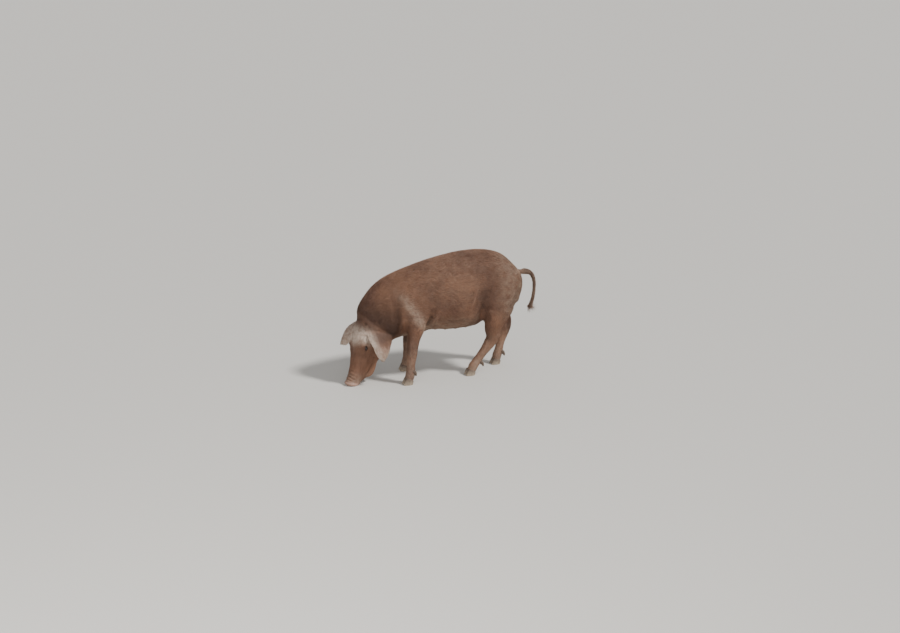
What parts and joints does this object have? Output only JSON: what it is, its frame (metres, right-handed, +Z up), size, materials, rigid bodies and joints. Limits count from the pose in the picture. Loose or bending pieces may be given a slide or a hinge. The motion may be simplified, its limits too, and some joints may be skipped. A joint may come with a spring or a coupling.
{
  "type": "pig",
  "caption": "Life-size still model of a growing red farm pig that stands with its snout lowered to the ground, rooting.",
  "frame": {"origin": "on the floor, under the middle of the box round the whole animal", "axes": "+X from the snout towards the tail, +Y to the animal's right, +Z up"},
  "size_m": [0.97, 0.2914, 0.6056],
  "materials": {
    "hide": "short dusty bristle over skin, dull with a faint sheen",
    "pale_skin": "bare moist skin of the snout disc",
    "horn": "dark hoof horn, dull and scuffed",
    "eye": "wet, dark brown, glossy"
  },
  "bodies": {
    "root": {"head": "hide", "snout": "pale_skin", "neck": "hide", "trunk": "hide", "tail": "hide", "tail_tip": "hide", "ear_left": "hide", "ear_right": "hide", "eye_left": "eye", "eye_right": "eye", "shoulder_left": "hide", "foreleg_left": "hide", "forefoot_left": "hide", "ham_left": "hide", "hindleg_left": "hide", "hindfoot_left": "hide", "shoulder_right": "hide", "foreleg_right": "hide", "forefoot_right": "hide", "ham_right": "hide", "hindleg_right": "hide", "hindfoot_right": "hide", "forefoot_left_inner_claw": "horn", "forefoot_left_inner_dewclaw": "horn", "forefoot_left_outer_claw": "horn", "forefoot_left_outer_dewclaw": "horn", "forefoot_right_inner_claw": "horn", "forefoot_right_inner_dewclaw": "horn", "forefoot_right_outer_claw": "horn", "forefoot_right_outer_dewclaw": "horn", "hindfoot_left_inner_claw": "horn", "hindfoot_left_inner_dewclaw": "horn", "hindfoot_left_outer_claw": "horn", "hindfoot_left_outer_dewclaw": "horn", "hindfoot_right_inner_claw": "horn", "hindfoot_right_inner_dewclaw": "horn", "hindfoot_right_outer_claw": "horn", "hindfoot_right_outer_dewclaw": "horn"}
  },
  "joints": []
}
